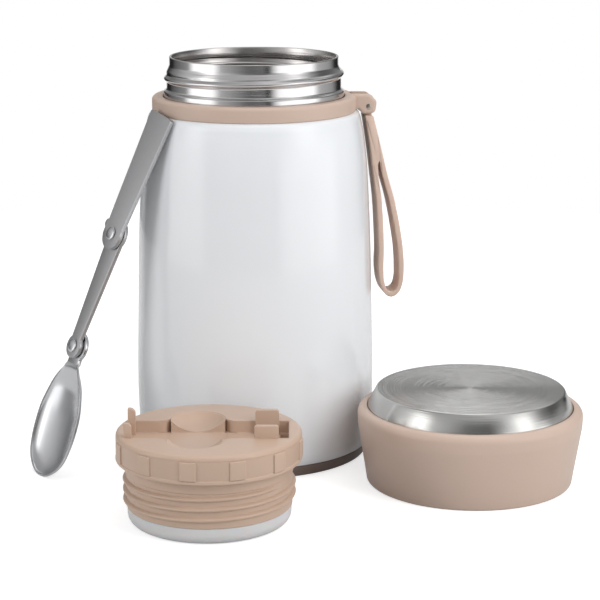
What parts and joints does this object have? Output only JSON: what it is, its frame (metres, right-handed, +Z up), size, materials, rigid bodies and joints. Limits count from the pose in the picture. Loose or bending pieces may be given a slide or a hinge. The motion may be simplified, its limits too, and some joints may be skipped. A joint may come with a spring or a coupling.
{
  "type": "insulated food jar",
  "caption": "Wide-mouth vacuum food jar standing open, with its screw stopper, screw cap, folding spoon leaning on the shoulder and a hanging carry strap.",
  "frame": {"origin": "centre of the jar's underside, on the table", "axes": "+Z up along the jar's axis, +X towards the side where the strap hangs, -Y towards the side where the stopper lies"},
  "size_m": [0.2455, 0.1955, 0.1814],
  "materials": {
    "white_paint": "gloss",
    "steel_polished": "polished",
    "steel_brushed": "brushed",
    "getter_metal": "dull",
    "beige_plastic": "satin",
    "inner_plastic": "satin",
    "taupe_plastic": "satin",
    "beige_silicone": "soft",
    "clear_silicone": "soft",
    "rubber_pad": "matt",
    "foam": "matt"
  },
  "bodies": {
    "jar": {"base_pad": "rubber_pad", "base_cup": "taupe_plastic", "outer_shell": "white_paint", "shell_bottom": "steel_brushed", "getter": "getter_metal", "neck_sleeve": "steel_polished", "inner_vessel": "steel_polished", "collar": "beige_plastic", "strap_pin": "steel_polished"},
    "strap": {"carry_strap": "beige_silicone"},
    "stopper": {"stopper_seal": "clear_silicone", "stopper_body": "beige_plastic", "stopper_plate": "beige_plastic", "stopper_foam": "foam"},
    "cap": {"cap_shell": "beige_plastic", "cap_top": "steel_brushed", "cap_liner": "inner_plastic", "cap_foam": "foam", "cap_gasket": "clear_silicone"},
    "spoon_end": {"spoon_end_link": "steel_brushed"},
    "spoon_middle": {"spoon_middle_link": "steel_brushed", "rivet_upper": "steel_polished", "washer_upper": "steel_polished"},
    "spoon_bowl_part": {"spoon_bowl": "steel_polished", "rivet_lower": "steel_polished", "washer_lower": "steel_polished"}
  },
  "joints": [
    {"name": "strap_hinge", "type": "hinge", "parent": "jar", "child": "strap", "pos_m": [0.05037, 0.00798, 0.1584], "axis": [0.1564, -0.9877, 0], "range_deg": [-2, 95]},
    {"name": "stopper_lift", "type": "slide", "parent": "jar", "child": "stopper", "axis": [0, 0, 1], "range_m": [0, 0.2]},
    {"name": "cap_lift", "type": "slide", "parent": "jar", "child": "cap", "axis": [0, 0, 1], "range_m": [0, 0.2]},
    {"name": "spoon_lift", "type": "slide", "parent": "jar", "child": "spoon_end", "axis": [0, 0, 1], "range_m": [0, 0.2]},
    {"name": "spoon_upper", "type": "hinge", "parent": "spoon_end", "child": "spoon_middle", "pos_m": [-0.05994, -0.02895, 0.10554], "axis": [-0.7555, -0.5489, 0.3575], "range_deg": [-85, 12]},
    {"name": "spoon_lower", "type": "hinge", "parent": "spoon_middle", "child": "spoon_bowl_part", "pos_m": [-0.07954, -0.03404, 0.05632], "axis": [-0.7555, -0.5489, 0.3575], "range_deg": [-165, 20]}
  ]
}
